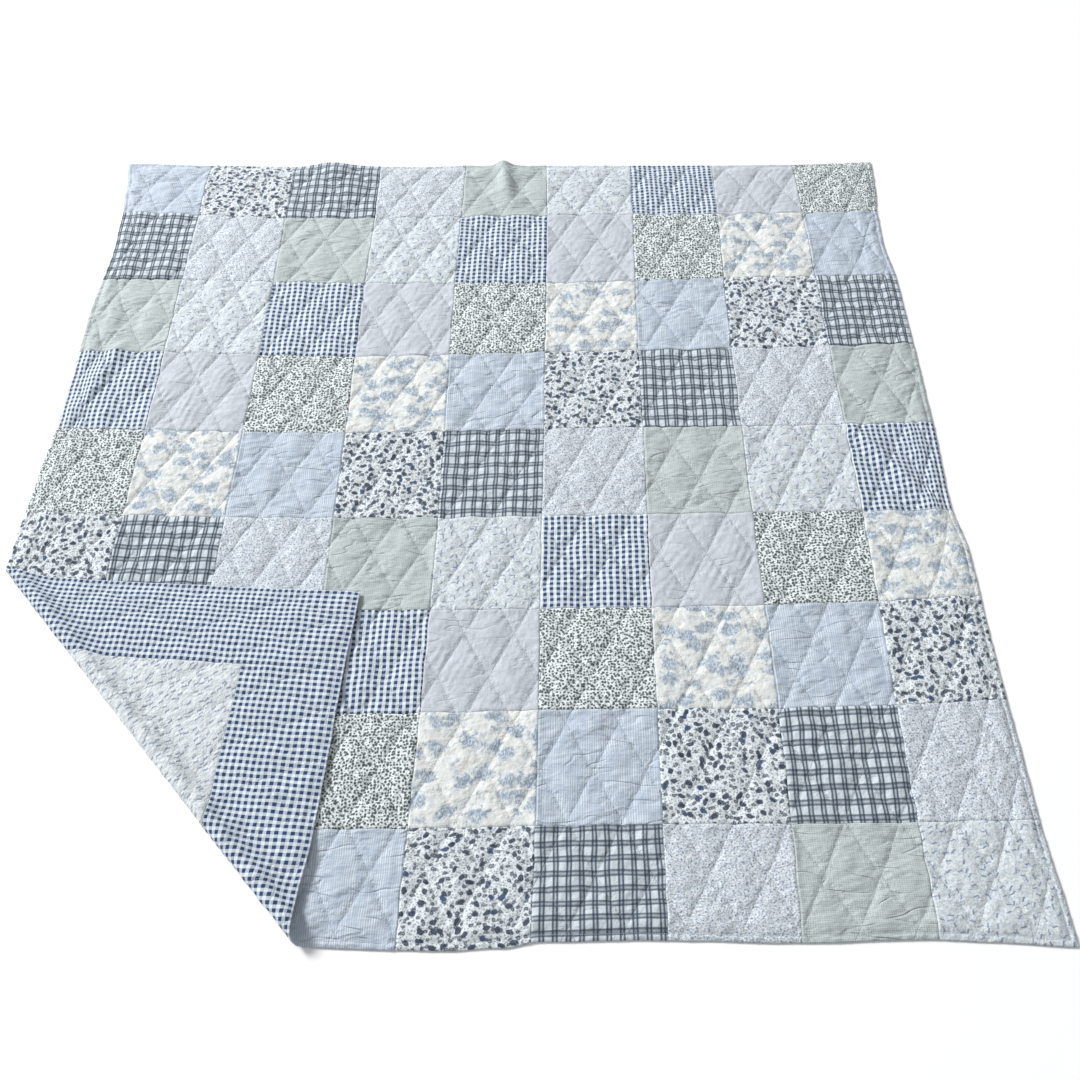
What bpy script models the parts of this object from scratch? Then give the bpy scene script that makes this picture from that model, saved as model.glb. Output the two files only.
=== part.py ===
"""Patchwork quilt, laid out flat with its near left corner folded over.

Metres, +Z up. The origin is on the floor, under the middle of the quilt's footprint. +X runs
along the rows of patches, +Y runs away from the near hem.

A maker sews this quilt from a patchwork top on its filling, quilted through in diamonds, and a
pieced backing: one centre panel inside four border strips. Each of those is one solid here.
All of them start as one flat sheet, with the quilt's own slightly wavy outline, that is cut
along the stitch lines, the backing's seams and the fold. Every point is then placed by the same
rule, so the layers stay parallel.
"""

import math

import bmesh
import bpy
from mathutils import Vector

# The flat quilt and its make
SIDE = 2.200  # cut size, both ways
HALF = SIDE / 2
BORDER = 0.200  # width of a backing border strip
SEWN = 0.0025  # filled top, at a sewing line
CROWN = 0.0060  # what the filling adds in the middle of a diamond
BACKING = 0.0012
PLY_GAP = 0.0003  # between pieces that are sewn face to face
BACK_PUFF = 0.0035  # how far the back swells where it lies free, on the flap
PRESSED = 0.40  # the share of its crown that the filling loses between the two layers
ROLL_FILL = 0.50  # the filling's even height in the roll of the fold, as a share of its crown
HEM_FLAT = 0.035  # the filling ends this far inside the hem

# The quilting: two families of slanting lines that leave standing diamonds
DIAMOND_WIDTH = 0.108
DIAMOND_LENGTH = 0.205
RISING_START = 0.335  # where the first line of each family starts, as a share of a diamond
FALLING_START = 0.118
CROWN_INSET = 0.020  # from a sewing line to the shoulder of a diamond
FULL_DIAMOND = DIAMOND_WIDTH * DIAMOND_LENGTH / 2

# The fold: where it meets the left edge and the near edge of the flat quilt
FOLD_LEFT = Vector((-HALF, -0.258))
FOLD_NEAR = Vector((-0.311, -HALF))
ROLL_RADIUS = 0.017  # of the seam plane, where the cloth turns over
SETTLE_RADIUS = 0.060  # of the softer bend that lets the flap down again
SETTLE_ANGLE = math.radians(41.5)
ROLL_CUTS = 9
SETTLE_CUTS = 3
FLAP_DROOP = 0.0025  # the flap's free hems hang this much lower than its middle
DROOP_REACH = 0.16

# How far each edge is drawn in from the flat square, at places along it from its first corner
LEFT_EDGE = (  # metres from the far corner, metres drawn in
    (0.00, 0.000), (0.12, 0.015), (0.24, 0.028), (0.37, 0.034), (0.61, 0.023), (0.80, 0.027),
    (0.98, 0.029), (1.16, 0.022), (1.34, 0.016), (1.60, 0.018), (1.95, 0.015), (2.20, 0.010),
)
RIGHT_EDGE = (
    (0.00, 0.010), (0.12, 0.017), (0.22, 0.029), (0.35, 0.033), (0.49, 0.021), (0.74, 0.021),
    (0.98, 0.023), (1.22, 0.030), (1.36, 0.014), (1.58, 0.017), (1.95, 0.013), (2.20, 0.000),
)
FAR_EDGE = (  # metres from the left corner, metres drawn in
    (0.00, 0.004), (0.25, 0.014), (0.50, 0.020), (0.62, 0.016), (0.86, 0.020), (1.00, 0.014),
    (1.25, 0.014), (1.70, 0.014), (1.95, 0.010), (2.20, 0.000),
)
NEAR_EDGE = (
    (0.00, -0.021), (0.22, -0.015), (0.45, -0.015), (0.56, -0.013), (0.68, -0.004),
    (0.80, -0.003), (0.95, -0.008), (1.05, -0.009), (1.14, -0.004), (1.22, 0.007), (1.40, 0.010),
    (1.69, 0.005), (1.93, 0.011), (2.05, 0.006), (2.20, -0.002),
)

# Ridges where the laid cloth stands off the floor
RIDGES = (  # name, first end, last end, height at each end, half width
    ("pinch in the far hem", (0.004, 1.10), (0.030, 0.86), 0.025, 0.001, 0.024),
    ("swell in the far hem", (-0.500, 1.10), (-0.440, 0.90), 0.015, 0.001, 0.085),
    ("crease on the right side", (0.880, 0.085), (1.030, -0.120), 0.010, 0.006, 0.026),
    ("crease on the left side", (-0.975, 0.345), (-1.020, 0.170), 0.007, 0.005, 0.024),
)
RIDGE_FADE = 0.06  # beyond its ends a ridge dies away over this length

CLEAR = 1e-6


def smooth(share):
    """0 below 0, 1 above 1, and a soft step in between."""
    share = min(1.0, max(0.0, share))
    return share * share * (3 - 2 * share)


def along_edge(stations, place):
    """The value at a place along an edge, eased from one station to the next."""
    for (start, low), (end, high) in zip(stations, stations[1:]):
        if place <= end:
            return low + (high - low) * smooth((place - start) / (end - start))
    return stations[-1][1]


def outline():
    """The quilt's hem as a loop of points, from the far left corner and down the left side."""
    left = [(along_edge(LEFT_EDGE, place) - HALF, HALF - place) for place, _ in LEFT_EDGE]
    right = [(HALF - along_edge(RIGHT_EDGE, place), HALF - place) for place, _ in RIGHT_EDGE]
    far = [(place - HALF, HALF - along_edge(FAR_EDGE, place)) for place, _ in FAR_EDGE]
    near = [(place - HALF, along_edge(NEAR_EDGE, place) - HALF) for place, _ in NEAR_EDGE]
    corners = [
        (left[0][0], far[0][1]), (left[-1][0], near[0][1]),
        (right[-1][0], near[-1][1]), (right[0][0], far[-1][1]),
    ]
    sides = [left[1:-1], near[1:-1], right[-2:0:-1], far[-2:0:-1]]
    return [point for corner, side in zip(corners, sides) for point in (corner, *side)]


def to_hem(flat):
    """Distance from a point of the flat quilt to its nearest edge."""
    from_left, from_far = flat[0] + HALF, HALF - flat[1]
    return min(
        from_left - along_edge(LEFT_EDGE, from_far),
        SIDE - from_left - along_edge(RIGHT_EDGE, from_far),
        from_far - along_edge(FAR_EDGE, from_left),
        SIDE - from_far - along_edge(NEAR_EDGE, from_left),
    )


def diamond_phases(flat):
    """How many sewing lines of each family lie before a point."""
    across, down = (flat[0] + HALF) / DIAMOND_WIDTH, (HALF - flat[1]) / DIAMOND_LENGTH
    return across + down - RISING_START, across - down - FALLING_START


def puff(flat):
    """0 on a sewing line and at the hem, 1 in the middle of a diamond."""
    rising, falling = diamond_phases(flat)
    dome = math.sqrt(abs(math.sin(math.pi * rising) * math.sin(math.pi * falling)))
    return dome * smooth(to_hem(flat) / HEM_FLAT)


# The fold's line and profile. Along the profile the seam plane turns over by a half turn and a
# little more, and then bends back until the flap lies level.
FOLD_RUN = (FOLD_NEAR - FOLD_LEFT).normalized()
FOLD_OUT = Vector((FOLD_RUN.y, -FOLD_RUN.x))
ROLL_LENGTH = ROLL_RADIUS * (math.pi + SETTLE_ANGLE)
SETTLE_LENGTH = SETTLE_RADIUS * SETTLE_ANGLE
FOLD_LENGTH = ROLL_LENGTH + SETTLE_LENGTH


def beyond_fold(flat):
    """Signed distance past the fold's start, positive towards the folded corner."""
    return (Vector(flat) - FOLD_LEFT).dot(FOLD_OUT)


def fold_profile(past):
    """(distance out, height, slope angle) of the seam plane at an arc length past the fold."""
    if past <= 0:
        return past, 0.0, 0.0
    if past <= ROLL_LENGTH:
        angle = past / ROLL_RADIUS
        return ROLL_RADIUS * math.sin(angle), ROLL_RADIUS * (1 - math.cos(angle)), angle
    top = math.pi + SETTLE_ANGLE
    out, height = ROLL_RADIUS * math.sin(top), ROLL_RADIUS * (1 - math.cos(top))
    angle = max(math.pi, top - (past - ROLL_LENGTH) / SETTLE_RADIUS)
    out -= SETTLE_RADIUS * (math.sin(angle) - math.sin(top))
    height += SETTLE_RADIUS * (math.cos(angle) - math.cos(top))
    out -= max(0.0, past - FOLD_LENGTH)
    return out, height, angle


FLAP_SHIFT = FOLD_LENGTH + fold_profile(FOLD_LENGTH)[0]


def covered(flat):
    """How far inside the flap's outline a point of the laid cloth lies, below 0 outside it."""
    past = beyond_fold(flat)
    if past > 0:
        return to_hem(flat)
    above = Vector(flat) + FOLD_OUT * (FLAP_SHIFT - 2 * past)
    return to_hem(above)


def lift(flat):
    """Height of the ridges at a point of the laid cloth."""
    total = 0.0
    for _, first, last, high, low, width in RIDGES:
        first, run = Vector(first), Vector(last) - Vector(first)
        share = (flat - first).dot(run) / run.length_squared
        aside = (flat - first).cross(run) / run.length
        beyond = max(0.0, -share, share - 1) * run.length
        height = high + (low - high) * min(1.0, max(0.0, share))
        total += height * math.exp(-2 * (aside / width) ** 2) * (1 - smooth(beyond / RIDGE_FADE))
    return total


def placed(flat, offset):
    """The point in space for a point of the flat quilt and its height over the seam plane."""
    past = beyond_fold(flat)
    out, height, angle = fold_profile(past)
    height += BACKING + PLY_GAP / 2
    if past <= 0:
        height += lift(flat) * (1 - smooth(covered(flat) / HEM_FLAT))
    droop = FLAP_DROOP * smooth((past - FOLD_LENGTH) / DROOP_REACH)
    height -= droop * (1 - smooth(to_hem(flat) / DROOP_REACH))
    spot = flat + FOLD_OUT * (out - past - math.sin(angle) * offset)
    return Vector((spot.x, spot.y, height + math.cos(angle) * offset))


def free_back(flat):
    """How far the back swells at a point: only on the flap, where nothing presses on it."""
    return BACK_PUFF * puff(flat) * smooth((beyond_fold(flat) - FOLD_LENGTH) / HEM_FLAT)


def top_face(flat):
    """Height of the patchwork's face over the seam plane."""
    past = beyond_fold(flat)
    pressed = PRESSED * smooth(covered(flat) / HEM_FLAT)
    on_roll = smooth(past / HEM_FLAT + 1) * (1 - smooth((past - FOLD_LENGTH) / HEM_FLAT))
    even = ROLL_FILL * smooth(to_hem(flat) / HEM_FLAT)
    fill = puff(flat) * (1 - pressed) * (1 - on_roll) + even * on_roll
    return PLY_GAP / 2 + SEWN + CROWN * fill


def top_underside(flat):
    return PLY_GAP / 2 - free_back(flat)


def backing_inside(flat):
    return -PLY_GAP / 2 - free_back(flat)


def backing_outside(flat):
    return -PLY_GAP / 2 - BACKING - free_back(flat)


def cut(sheet, point, normal, inside=None):
    """Cuts the flat sheet along a line, or only the faces whose middle passes the test."""
    faces = [f for f in sheet.faces if inside is None or inside(f.calc_center_median())]
    edges = {e for f in faces for e in f.edges}
    corners = {v for f in faces for v in f.verts}
    bmesh.ops.bisect_plane(
        sheet, geom=[*corners, *edges, *faces], dist=CLEAR,
        plane_co=(point[0], point[1], 0), plane_no=(normal[0], normal[1], 0),
    )


def cut_fold(sheet):
    """Lines along the fold, close together where the cloth turns."""
    stations = [ROLL_LENGTH * i / ROLL_CUTS for i in range(ROLL_CUTS + 1)]
    stations += [ROLL_LENGTH + SETTLE_LENGTH * (i + 1) / SETTLE_CUTS for i in range(SETTLE_CUTS)]
    for station in stations:
        cut(sheet, FOLD_LEFT + FOLD_OUT * station, FOLD_OUT)


def off_the_roll(middle):
    return not 0 < beyond_fold(middle.xy) < FOLD_LENGTH


def cut_diamonds(sheet):
    """Every sewing line of both families, off the roll of the fold."""
    most = math.ceil(SIDE / DIAMOND_WIDTH + SIDE / DIAMOND_LENGTH)
    for lean, start in ((1, RISING_START), (-1, FALLING_START)):
        normal = Vector((1 / DIAMOND_WIDTH, -lean / DIAMOND_LENGTH))
        for number in range(-most, most):
            across = (number + start) * DIAMOND_WIDTH
            cut(sheet, (across - HALF, HALF), normal, off_the_roll)


def cut_ridges(sheet):
    """The crest and both feet of each ridge."""
    for _, first, last, _, _, width in RIDGES:
        first, run = Vector(first), Vector(last) - Vector(first)
        aside = Vector((run.y, -run.x)).normalized()
        middle, near = first + run / 2, run.length / 2 + RIDGE_FADE + width
        for step in (-1, 0, 1):
            along = first + aside * (step * width)
            cut(sheet, along, aside, lambda place: (place.xy - middle).length < near)


def cut_borders(sheet):
    """The four seams that join the backing's border strips to its panel."""
    for side in (-1, 1):
        cut(sheet, (side * (HALF - BORDER), 0), (1, 0))
        cut(sheet, (0, side * (HALF - BORDER)), (0, 1))


def crown(sheet, faces):
    """Gives each whole diamond a shoulder and a peak. A part of one gets a peak alone."""
    whole = [f for f in faces if len(f.verts) == 4 and f.calc_area() > 0.9999 * FULL_DIAMOND]
    parts = [f for f in faces if f not in whole and f.calc_area() > 0.2 * FULL_DIAMOND]
    bmesh.ops.inset_individual(sheet, faces=whole, thickness=CROWN_INSET, use_even_offset=True)
    bmesh.ops.poke(sheet, faces=whole + parts)


def shown_from_above(face):
    """Whether a face lies on the laid part of the quilt, clear of the flap."""
    middle = face.calc_center_median().xy
    return beyond_fold(middle) < 0 and covered(middle) < HEM_FLAT


def flat_sheet():
    """The whole quilt as one flat sheet with all its cuts, and the flap's diamonds crowned.

    Each face keeps the number of the cell that it was cut from.
    """
    sheet = bmesh.new()
    sheet.faces.new([sheet.verts.new((x, y, 0)) for x, y in outline()])
    cut_borders(sheet)
    cut_fold(sheet)
    cut_diamonds(sheet)
    cut_ridges(sheet)
    crown(sheet, [f for f in sheet.faces if beyond_fold(f.calc_center_median().xy) > FOLD_LENGTH])
    cell = sheet.faces.layers.int.new("cell")
    for number, face in enumerate(sheet.faces):
        face[cell] = number
    bmesh.ops.triangulate(sheet, faces=sheet.faces[:])
    return sheet


def crown_laid(sheet):
    """Joins the upper triangles of each cell again where all of it shows, and crowns them."""
    cell = sheet.faces.layers.int["cell"]
    upper = [f for f in sheet.faces if min(v.co.z for v in f.verts) > 0.5]
    hidden = {f[cell] for f in upper if not shown_from_above(f)}
    shown = {f for f in upper if f[cell] not in hidden}
    inner = {
        e for f in shown for e in f.edges
        if shown.issuperset(e.link_faces) and len({other[cell] for other in e.link_faces}) == 1
    }
    bmesh.ops.dissolve_edges(sheet, edges=list(inner), use_verts=False)
    upper = [f for f in sheet.faces if min(v.co.z for v in f.verts) > 0.5]
    crown(sheet, [f for f in upper if f[cell] not in hidden])


def thickened(sheet, name, lower, upper, colour, crowned=False):
    """One closed solid between two rules for height, as an object with its own material."""
    first = set(sheet.verts)
    bmesh.ops.extrude_face_region(sheet, geom=sheet.faces[:], use_keep_orig=True)
    for vertex in sheet.verts:
        vertex.co.z = 0 if vertex in first else 1
    if crowned:
        crown_laid(sheet)
    for vertex in sheet.verts:
        rule = upper if vertex.co.z > 0.5 else lower
        vertex.co = placed(vertex.co.xy, rule(vertex.co.xy))
    bmesh.ops.triangulate(sheet, faces=sheet.faces[:])
    bmesh.ops.recalc_face_normals(sheet, faces=sheet.faces[:])
    mesh = bpy.data.meshes.new(name)
    sheet.to_mesh(mesh)
    sheet.free()
    piece = bpy.data.objects.new(name, mesh)
    bpy.context.scene.collection.objects.link(piece)
    mesh.materials.append(cloth(name, colour))
    return piece


def cloth(name, colour):
    material = bpy.data.materials.new(name)
    material.use_nodes = True
    shader = material.node_tree.nodes["Principled BSDF"]
    shader.inputs["Base Color"].default_value = (*colour, 1)
    shader.inputs["Roughness"].default_value = 0.9
    shader.inputs["Metallic"].default_value = 0.0
    return material


def quilted_top(master):
    """The patchwork on its filling, sewn through in diamonds."""
    patchwork_blue = (0.62, 0.68, 0.76)
    return thickened(master.copy(), "quilted_top", top_underside, top_face, patchwork_blue, True)


def border_of(flat):
    """Which piece of the backing a point belongs to. The side strips run the full length."""
    x, y = flat
    inner = HALF - BORDER
    if abs(x) > inner:
        return "backing_border_left" if x < 0 else "backing_border_right"
    if abs(y) > inner:
        return "backing_border_near" if y < 0 else "backing_border_far"
    return "backing_panel"


def backing_piece(master, name):
    """One piece of the backing, trimmed at its seams so that it doesn't touch the next."""
    piece = master.copy()
    other = [f for f in piece.faces if border_of(f.calc_center_median().xy) != name]
    bmesh.ops.delete(piece, geom=other, context="FACES")
    seam, side_strip = HALF - BORDER, name.endswith(("left", "right"))
    for corner in (vertex.co for vertex in piece.verts):
        if abs(abs(corner.x) - seam) < 2 * CLEAR:
            outward = math.copysign(PLY_GAP / 2, corner.x)
            corner.x += outward if side_strip else -outward
        if abs(abs(corner.y) - seam) < 2 * CLEAR and not side_strip:
            outward = math.copysign(PLY_GAP / 2, corner.y)
            corner.y += -outward if name == "backing_panel" else outward
    print_blue, check_blue = (0.80, 0.83, 0.86), (0.45, 0.52, 0.66)
    colour = print_blue if name == "backing_panel" else check_blue
    return thickened(piece, name, backing_outside, backing_inside, colour)


def centred(pieces):
    """Moves the quilt so that the middle of its footprint is over the origin."""
    corners = [v.co for piece in pieces for v in piece.data.vertices]
    lows = [min(c[axis] for c in corners) for axis in range(3)]
    highs = [max(c[axis] for c in corners) for axis in range(3)]
    shift = Vector((-(lows[0] + highs[0]) / 2, -(lows[1] + highs[1]) / 2, -lows[2]))
    for piece in pieces:
        for vertex in piece.data.vertices:
            vertex.co += shift


for leftover in list(bpy.data.objects):
    bpy.data.objects.remove(leftover)
whole_sheet = flat_sheet()
backing_names = [
    "backing_panel", "backing_border_left", "backing_border_right",
    "backing_border_near", "backing_border_far",
]
centred([quilted_top(whole_sheet), *(backing_piece(whole_sheet, name) for name in backing_names)])
whole_sheet.free()
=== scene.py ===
import math

import bmesh
import bpy
import numpy as np
from mathutils import Matrix, Vector


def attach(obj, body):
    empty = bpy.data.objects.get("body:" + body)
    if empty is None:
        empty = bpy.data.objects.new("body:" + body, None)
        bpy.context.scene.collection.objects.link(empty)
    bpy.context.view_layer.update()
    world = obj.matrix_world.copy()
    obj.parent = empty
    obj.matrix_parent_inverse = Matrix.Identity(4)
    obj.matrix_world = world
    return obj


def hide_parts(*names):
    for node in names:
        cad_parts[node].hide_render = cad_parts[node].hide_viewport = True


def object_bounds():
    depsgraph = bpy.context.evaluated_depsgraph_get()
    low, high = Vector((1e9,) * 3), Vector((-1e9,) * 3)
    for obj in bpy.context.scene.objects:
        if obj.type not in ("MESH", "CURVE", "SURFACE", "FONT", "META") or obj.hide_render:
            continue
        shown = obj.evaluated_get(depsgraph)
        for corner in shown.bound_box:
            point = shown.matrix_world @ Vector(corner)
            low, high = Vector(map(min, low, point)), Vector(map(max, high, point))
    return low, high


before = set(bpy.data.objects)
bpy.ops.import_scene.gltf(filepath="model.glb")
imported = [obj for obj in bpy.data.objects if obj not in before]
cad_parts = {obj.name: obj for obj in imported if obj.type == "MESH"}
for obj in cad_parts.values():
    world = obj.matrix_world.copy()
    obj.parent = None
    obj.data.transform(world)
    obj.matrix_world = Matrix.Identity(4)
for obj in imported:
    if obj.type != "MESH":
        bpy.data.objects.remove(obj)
cad_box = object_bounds()

# The room: a pale floor under soft studio light, seen from where a standing person holds a
# camera, at the near side of the quilt. The lens and the tilt are those of the photograph.
CAMERA_AT = (0.11283, -1.4908, 2.01936)
CAMERA_TILT = math.radians(32.294)
LENS = 34.87
FLOOR_REACH = 7.0
FLOOR_DROP = 0.0012

camera = bpy.data.objects.new("camera", bpy.data.cameras.new("camera"))
camera.data.lens = LENS
camera.data.sensor_width = 36.0
camera.location = CAMERA_AT
camera.rotation_euler = (CAMERA_TILT, 0, 0)
bpy.context.scene.collection.objects.link(camera)
bpy.context.scene.camera = camera
KEY_FROM = (-2.8, 1.9, 2.0)  # the light's side, which the quilting's shading shows
WINDOW_DISTANCE = 5.5  # near enough for the quilt's near right to be a little dimmer
sky = bpy.data.lights.new("sky_light", "SUN")
sky.energy = 3.05
sky.angle = math.radians(14)
pane = bpy.data.lights.new("window_light", "AREA")
pane.energy = 135.0
pane.size = 1.3
for key in (sky, pane):
    window = bpy.data.objects.new(key.name, key)
    window.location = Vector(KEY_FROM).normalized() * WINDOW_DISTANCE
    window.rotation_euler = Vector(KEY_FROM).to_track_quat("Z", "Y").to_euler()
    bpy.context.scene.collection.objects.link(window)
room = bpy.data.worlds.new("studio")
bpy.context.scene.world = room
room.use_nodes = True
room.node_tree.nodes["Background"].inputs["Color"].default_value = (0.97, 0.985, 1.0, 1)
room.node_tree.nodes["Background"].inputs["Strength"].default_value = 0.44

ground = bmesh.new()
bmesh.ops.create_grid(ground, x_segments=1, y_segments=1, size=FLOOR_REACH)
bmesh.ops.translate(ground, vec=(0, 0, -FLOOR_DROP), verts=ground.verts)
floor = bpy.data.objects.new("floor", bpy.data.meshes.new("floor"))
ground.to_mesh(floor.data)
ground.free()
bpy.context.scene.collection.objects.link(floor)
paint = bpy.data.materials.new("floor_paint")
paint.use_nodes = True
paint.node_tree.nodes["Principled BSDF"].inputs["Base Color"].default_value = (0.96, 0.96, 0.96, 1)
paint.node_tree.nodes["Principled BSDF"].inputs["Roughness"].default_value = 0.8
floor.data.materials.append(paint)
bpy.context.scene.view_settings.view_transform = "Standard"

# The blue patches, with all that the ten patchwork cottons share. Each patch is cut from its
# cloth, sewn to its neighbours and quilted through its filling in diamonds, so its mesh runs
# along the quilting lines. The same rules lay every point of the quilt, as in the CAD.
HALF = 1.100
SIDE = 2 * HALF
SEAM_SHIFT = cad_box[1][1] - HALF  # the CAD's far hem is the flat quilt's far corner
BACKING = 0.0012
PLY_GAP = 0.0003
SEWN = 0.0025
CROWN = 0.0063
BACK_PUFF = 0.0035
PRESSED = 0.40
ROLL_FILL = 0.50
HEM_FLAT = 0.035
DIAMOND_WIDTH = 0.108
DIAMOND_LENGTH = 0.205
RISING_START = 0.335
FALLING_START = 0.118
LINE_GAP = 1 / math.hypot(1 / DIAMOND_WIDTH, 1 / DIAMOND_LENGTH)
FOLD_LEFT = Vector((-HALF, -0.258))
FOLD_NEAR = Vector((-0.311, -HALF))
FOLD_RUN = (FOLD_NEAR - FOLD_LEFT).normalized()
FOLD_OUT = Vector((FOLD_RUN.y, -FOLD_RUN.x))
ROLL_RADIUS = 0.017
SETTLE_RADIUS = 0.060
SETTLE_ANGLE = math.radians(41.5)
ROLL_LENGTH = ROLL_RADIUS * (math.pi + SETTLE_ANGLE)
SETTLE_LENGTH = SETTLE_RADIUS * SETTLE_ANGLE
FOLD_LENGTH = ROLL_LENGTH + SETTLE_LENGTH
FLAP_DROOP = 0.0025
DROOP_REACH = 0.16
DRAWN_REACH = 0.12  # the cloth is drawn in over this width along each hem
LEFT_EDGE = (
    (0.00, 0.000), (0.12, 0.015), (0.24, 0.028), (0.37, 0.034), (0.61, 0.023), (0.80, 0.027),
    (0.98, 0.029), (1.16, 0.022), (1.34, 0.016), (1.60, 0.018), (1.95, 0.015), (2.20, 0.010),
)
RIGHT_EDGE = (
    (0.00, 0.010), (0.12, 0.017), (0.22, 0.029), (0.35, 0.033), (0.49, 0.021), (0.74, 0.021),
    (0.98, 0.023), (1.22, 0.030), (1.36, 0.014), (1.58, 0.017), (1.95, 0.013), (2.20, 0.000),
)
FAR_EDGE = (
    (0.00, 0.004), (0.25, 0.014), (0.50, 0.020), (0.62, 0.016), (0.86, 0.020), (1.00, 0.014),
    (1.25, 0.014), (1.70, 0.014), (1.95, 0.010), (2.20, 0.000),
)
NEAR_EDGE = (
    (0.00, -0.021), (0.22, -0.015), (0.45, -0.015), (0.56, -0.013), (0.68, -0.004),
    (0.80, -0.003), (0.95, -0.008), (1.05, -0.009), (1.14, -0.004), (1.22, 0.007), (1.40, 0.010),
    (1.69, 0.005), (1.93, 0.011), (2.05, 0.006), (2.20, -0.002),
)
RIDGES = (  # first end, last end, height at each end, half width
    ((0.004, 1.10), (0.030, 0.86), 0.020, 0.001, 0.034),
    ((-0.500, 1.10), (-0.440, 0.90), 0.015, 0.001, 0.085),
    ((0.880, 0.085), (1.030, -0.120), 0.010, 0.006, 0.026),
    ((-0.975, 0.345), (-1.020, 0.170), 0.007, 0.005, 0.024),
)
RIDGE_FADE = 0.06
COLUMN_SEAMS = (  # mm from the left: each seam's place at the far hem, each row seam, the near hem
    (246, 246, 246, 248, 249, 248, 248, 248, 248, 248),
    (494, 494, 494, 492, 489, 486, 484, 483, 481, 479),
    (746, 746, 741, 739, 740, 737, 734, 730, 726, 722),
    (996, 991, 984, 981, 981, 978, 972, 965, 956, 948),
    (1232, 1233, 1230, 1226, 1223, 1217, 1213, 1210, 1204, 1196),
    (1478, 1476, 1470, 1466, 1465, 1461, 1457, 1455, 1452, 1448),
    (1718, 1716, 1710, 1706, 1705, 1705, 1706, 1706, 1702, 1694),
    (1956, 1957, 1960, 1958, 1959, 1961, 1956, 1951, 1948, 1948),
)
ROW_SEAMS = (  # mm from the far side, in the same way from left to right
    (218, 234, 248, 249, 241, 236, 232, 231, 226, 214),
    (488, 492, 499, 505, 505, 505, 496, 484, 478, 470),
    (748, 752, 761, 769, 762, 753, 746, 740, 733, 719),
    (999, 1005, 1012, 1015, 1009, 1002, 997, 994, 989, 979),
    (1245, 1255, 1261, 1264, 1263, 1258, 1253, 1248, 1244, 1240),
    (1501, 1503, 1505, 1506, 1504, 1501, 1497, 1492, 1482, 1466),
    (1748, 1748, 1748, 1748, 1745, 1738, 1735, 1735, 1727, 1713),
    (1988, 1988, 1988, 1987, 1985, 1980, 1976, 1976, 1973, 1967),
)
PITCH = SIDE / 9
TOPSTITCH = 0.012  # from the hem to its line of stitches
HEM_CUTS = (0.0010, 0.0026, 0.0055, 0.0090, TOPSTITCH, 0.0150)
SEAM_CUTS = (0.0012, 0.0030)
SEAM_GAP = 0.0001
THREADS_A_DIAMOND = 20  # mesh lines along each side of a diamond of the top
CROSSINGS = np.empty((10, 10, 2))  # where seam lines meet, by row line and column line
CROSSINGS[:, 0, 0], CROSSINGS[:, 9, 0] = -HALF, HALF
CROSSINGS[0, :, 1], CROSSINGS[9, :, 1] = HALF, -HALF
CROSSINGS[:, 1:9, 0] = np.array(COLUMN_SEAMS).T / 1000 - HALF
CROSSINGS[1:9, :, 1] = HALF - np.array(ROW_SEAMS) / 1000
CLOTHS = (
    "blue", "large_floral", "plaid", "fine_floral", "green",
    "light_floral", "gingham", "lilac", "dark_floral", "scenic",
)


def smooth(share):
    share = np.clip(share, 0, 1)
    return share * share * (3 - 2 * share)


def drawn_in(stations, place):
    """How far an edge is drawn in at places along it, eased from one station to the next."""
    places, depths = np.array(stations).T
    step = np.clip(np.searchsorted(places, place) - 1, 0, len(places) - 2)
    share = smooth((place - places[step]) / (places[step + 1] - places[step]))
    return depths[step] + (depths[step + 1] - depths[step]) * share


def ripples(x, y, seed, shortest, longest, heading=0.0, spread=math.pi, count=28):
    """An uneven field of soft waves, about 1 at its highest, the same on every run."""
    dice = np.random.default_rng(seed)
    total = np.zeros_like(x)
    for _ in range(count):
        turn = heading + spread * dice.uniform(-0.5, 0.5)
        pace = 2 * math.pi / (shortest * (longest / shortest) ** dice.uniform())
        total += np.cos(pace * (math.cos(turn) * x + math.sin(turn) * y) + dice.uniform(0, 6.283))
    return total / math.sqrt(2 * count)


def to_hem(x, y):
    """Distance to the nearest edge of the flat quilt, before its hems are drawn in."""
    return np.minimum(HALF - np.abs(x), HALF - np.abs(y))


def phases(x, y):
    across, down = (x + HALF) / DIAMOND_WIDTH, (HALF - y) / DIAMOND_LENGTH
    return across + down - RISING_START, across - down - FALLING_START


def puff(x, y):
    """0 on a quilting line and at the hem, 1 in the middle of a diamond."""
    rising, falling = phases(x, y)
    dome = np.sqrt(np.abs(np.sin(np.pi * rising) * np.sin(np.pi * falling)))
    return dome * smooth(to_hem(x, y) / HEM_FLAT)


def drawn(x, y):
    """The laid places of points of the flat quilt, with the hems drawn in and a slight wander."""
    left, far = x + HALF, HALF - y
    right, near = SIDE - left, SIDE - far

    def reach(inside):
        return 1 - smooth(inside / DRAWN_REACH)

    wander = 0.0006 * smooth(to_hem(x, y) / 0.10) + 0.0006
    laid_x = x + drawn_in(LEFT_EDGE, far) * reach(left) - drawn_in(RIGHT_EDGE, far) * reach(right)
    laid_y = y - drawn_in(FAR_EDGE, left) * reach(far) + drawn_in(NEAR_EDGE, left) * reach(near)
    laid_x += wander * ripples(x, y, 3, 0.05, 0.14)
    laid_y += wander * ripples(x, y, 4, 0.05, 0.14)
    return laid_x, laid_y


def beyond_fold(x, y):
    return (x - FOLD_LEFT.x) * FOLD_OUT.x + (y - FOLD_LEFT.y) * FOLD_OUT.y


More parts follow.
